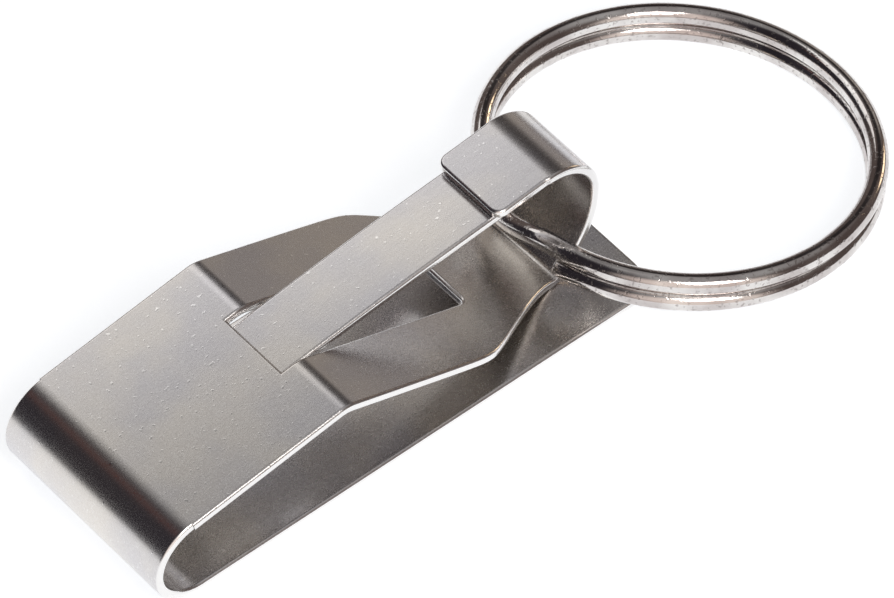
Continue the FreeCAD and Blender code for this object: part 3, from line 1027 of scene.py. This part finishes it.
@dataclass(frozen=True)
class Studio:
    """Floor, surroundings, lights and camera."""

    paper: MattePaper = MattePaper()
    floor_half: float = 1.2
    floor_drop: float = 0.02 * MM
    aim: tuple[float, float, float] = (3.746 * MM, -8.33 * MM, 14.55 * MM)
    camera_azimuth: float = -130.017
    camera_elevation: float = 50.23
    camera_distance: float = 816.7 * MM
    lens: float = 364.4
    sensor: float = 36.0
    nearest: float = 0.01
    horizon_to_top: tuple[float, float] = (0.55, 0.98)
    low: Colour = (0.12, 0.095, 0.088, 1)
    high: Colour = (0.42, 0.41, 0.41, 1)
    glows: tuple[Glow, ...] = (
        Glow(150.0, 30.0, 35.0, 59.0, (0.030, 0.026, 0.032, 1)),
        Glow(128.0, 50.0, 2.0, 8.0, (0.13, 0.055, 0.045, 1)),
        Glow(74.0, 62.0, 9.0, 18.0, (0.27, 0.265, 0.265, 1)),
        Glow(38.0, 37.0, 9.0, 20.0, (0.035, 0.030, 0.030, 1)),
        Glow(31.0, 17.0, 5.0, 13.0, (0.40, 0.36, 0.33, 1)),
        Glow(5.0, 14.0, 3.0, 9.0, (3.2, 2.5, 1.7, 1)),
        Glow(-118.0, 22.0, 18.0, 45.0, (1.0, 0.88, 0.82, 1)),
    )
    boxes: tuple[Softbox, ...] = (
        Softbox(
            "key_box", 71.0, 58.0, 0.15, (0.13, 0.115), 1.06,
            (1.0, 0.99, 0.98), (0.004, 0.078, 0.0)),
        Softbox("near_box", -100.0, 48.0, 0.6, (0.24, 0.24), 7.0, (1.0, 0.97, 0.94)),
    )

    def add_floor(self) -> None:
        """Add the paper."""
        half = self.floor_half
        mesh = bpy.data.meshes.new("paper")
        corners = [(-half, -half, 0), (half, -half, 0), (half, half, 0), (-half, half, 0)]
        mesh.from_pydata(corners, [], [(0, 1, 2, 3)])
        floor = bpy.data.objects.new("paper", mesh)
        floor.location.z = -self.floor_drop
        mesh.materials.append(self.paper.build())
        bpy.context.scene.collection.objects.link(floor)

    def add_world(self) -> None:
        """Light the clip from all round: dim near the horizon, pale overhead, with soft patches.

        Each patch's share is a smooth step of the dot product of its direction and the ray's,
        between the cosines of its outer and inner angles.
        """
        world = bpy.data.worlds.new("studio")
        world.use_nodes = True
        bpy.context.scene.world = world
        graph = Graph(world.node_tree)
        ray = graph.node("ShaderNodeTexCoord").outputs["Generated"]
        parts = graph.node("ShaderNodeSeparateXYZ", Vector=ray)
        height = graph.value(parts.outputs["Z"]).between(*self.horizon_to_top)
        colour = graph.mix(height, self.low, self.high)
        for glow in self.glows:
            dot = graph.node("ShaderNodeVectorMath", {"operation": "DOT_PRODUCT"})
            graph.feed(dot.inputs[0], ray)
            graph.feed(dot.inputs[1], direction(glow.azimuth, glow.elevation))
            outer = math.cos(math.radians(glow.outer))
            inner = math.cos(math.radians(glow.inner))
            share = graph.value(dot.outputs["Value"]).between(outer, inner)
            colour = graph.mix(share, colour, glow.colour)
        graph.feed(world.node_tree.nodes["Background"].inputs["Color"], colour)

    def add_camera(self) -> None:
        """Add the camera."""
        lens = bpy.data.cameras.new("camera")
        lens.lens = self.lens
        lens.sensor_width = self.sensor
        lens.clip_start = self.nearest
        camera = bpy.data.objects.new("camera", lens)
        out = direction(self.camera_azimuth, self.camera_elevation)
        camera.location = Vector(self.aim) + out * self.camera_distance
        camera.rotation_euler = out.to_track_quat("Z", "Y").to_euler()
        bpy.context.scene.collection.objects.link(camera)
        bpy.context.scene.camera = camera

    def build(self) -> None:
        """Set up the whole studio."""
        self.add_floor()
        self.add_world()
        for box in self.boxes:
            box.build(Vector(self.aim))
        self.add_camera()
        bpy.context.scene.view_settings.view_transform = "Standard"


def direction(azimuth: float, elevation: float) -> Vector:
    """Return the unit vector at an azimuth, from +X towards +Y, and an elevation, in degrees."""
    around = math.radians(azimuth)
    above = math.radians(elevation)
    flat = math.cos(above)
    return Vector((flat * math.cos(around), flat * math.sin(around), math.sin(above)))


# ------------------------------------------------------------------ whole scene

def main() -> None:
    """Build the clip and the studio."""
    strip = Strip()
    pieces = strip.build()
    strip.dress(pieces)
    ring = SplitRing()
    wire = ring.build()
    ring.dress(wire)
    Studio().build()


if __name__ == "__main__":
    logging.basicConfig(level=logging.INFO, format="%(name)s: %(message)s")
    main()
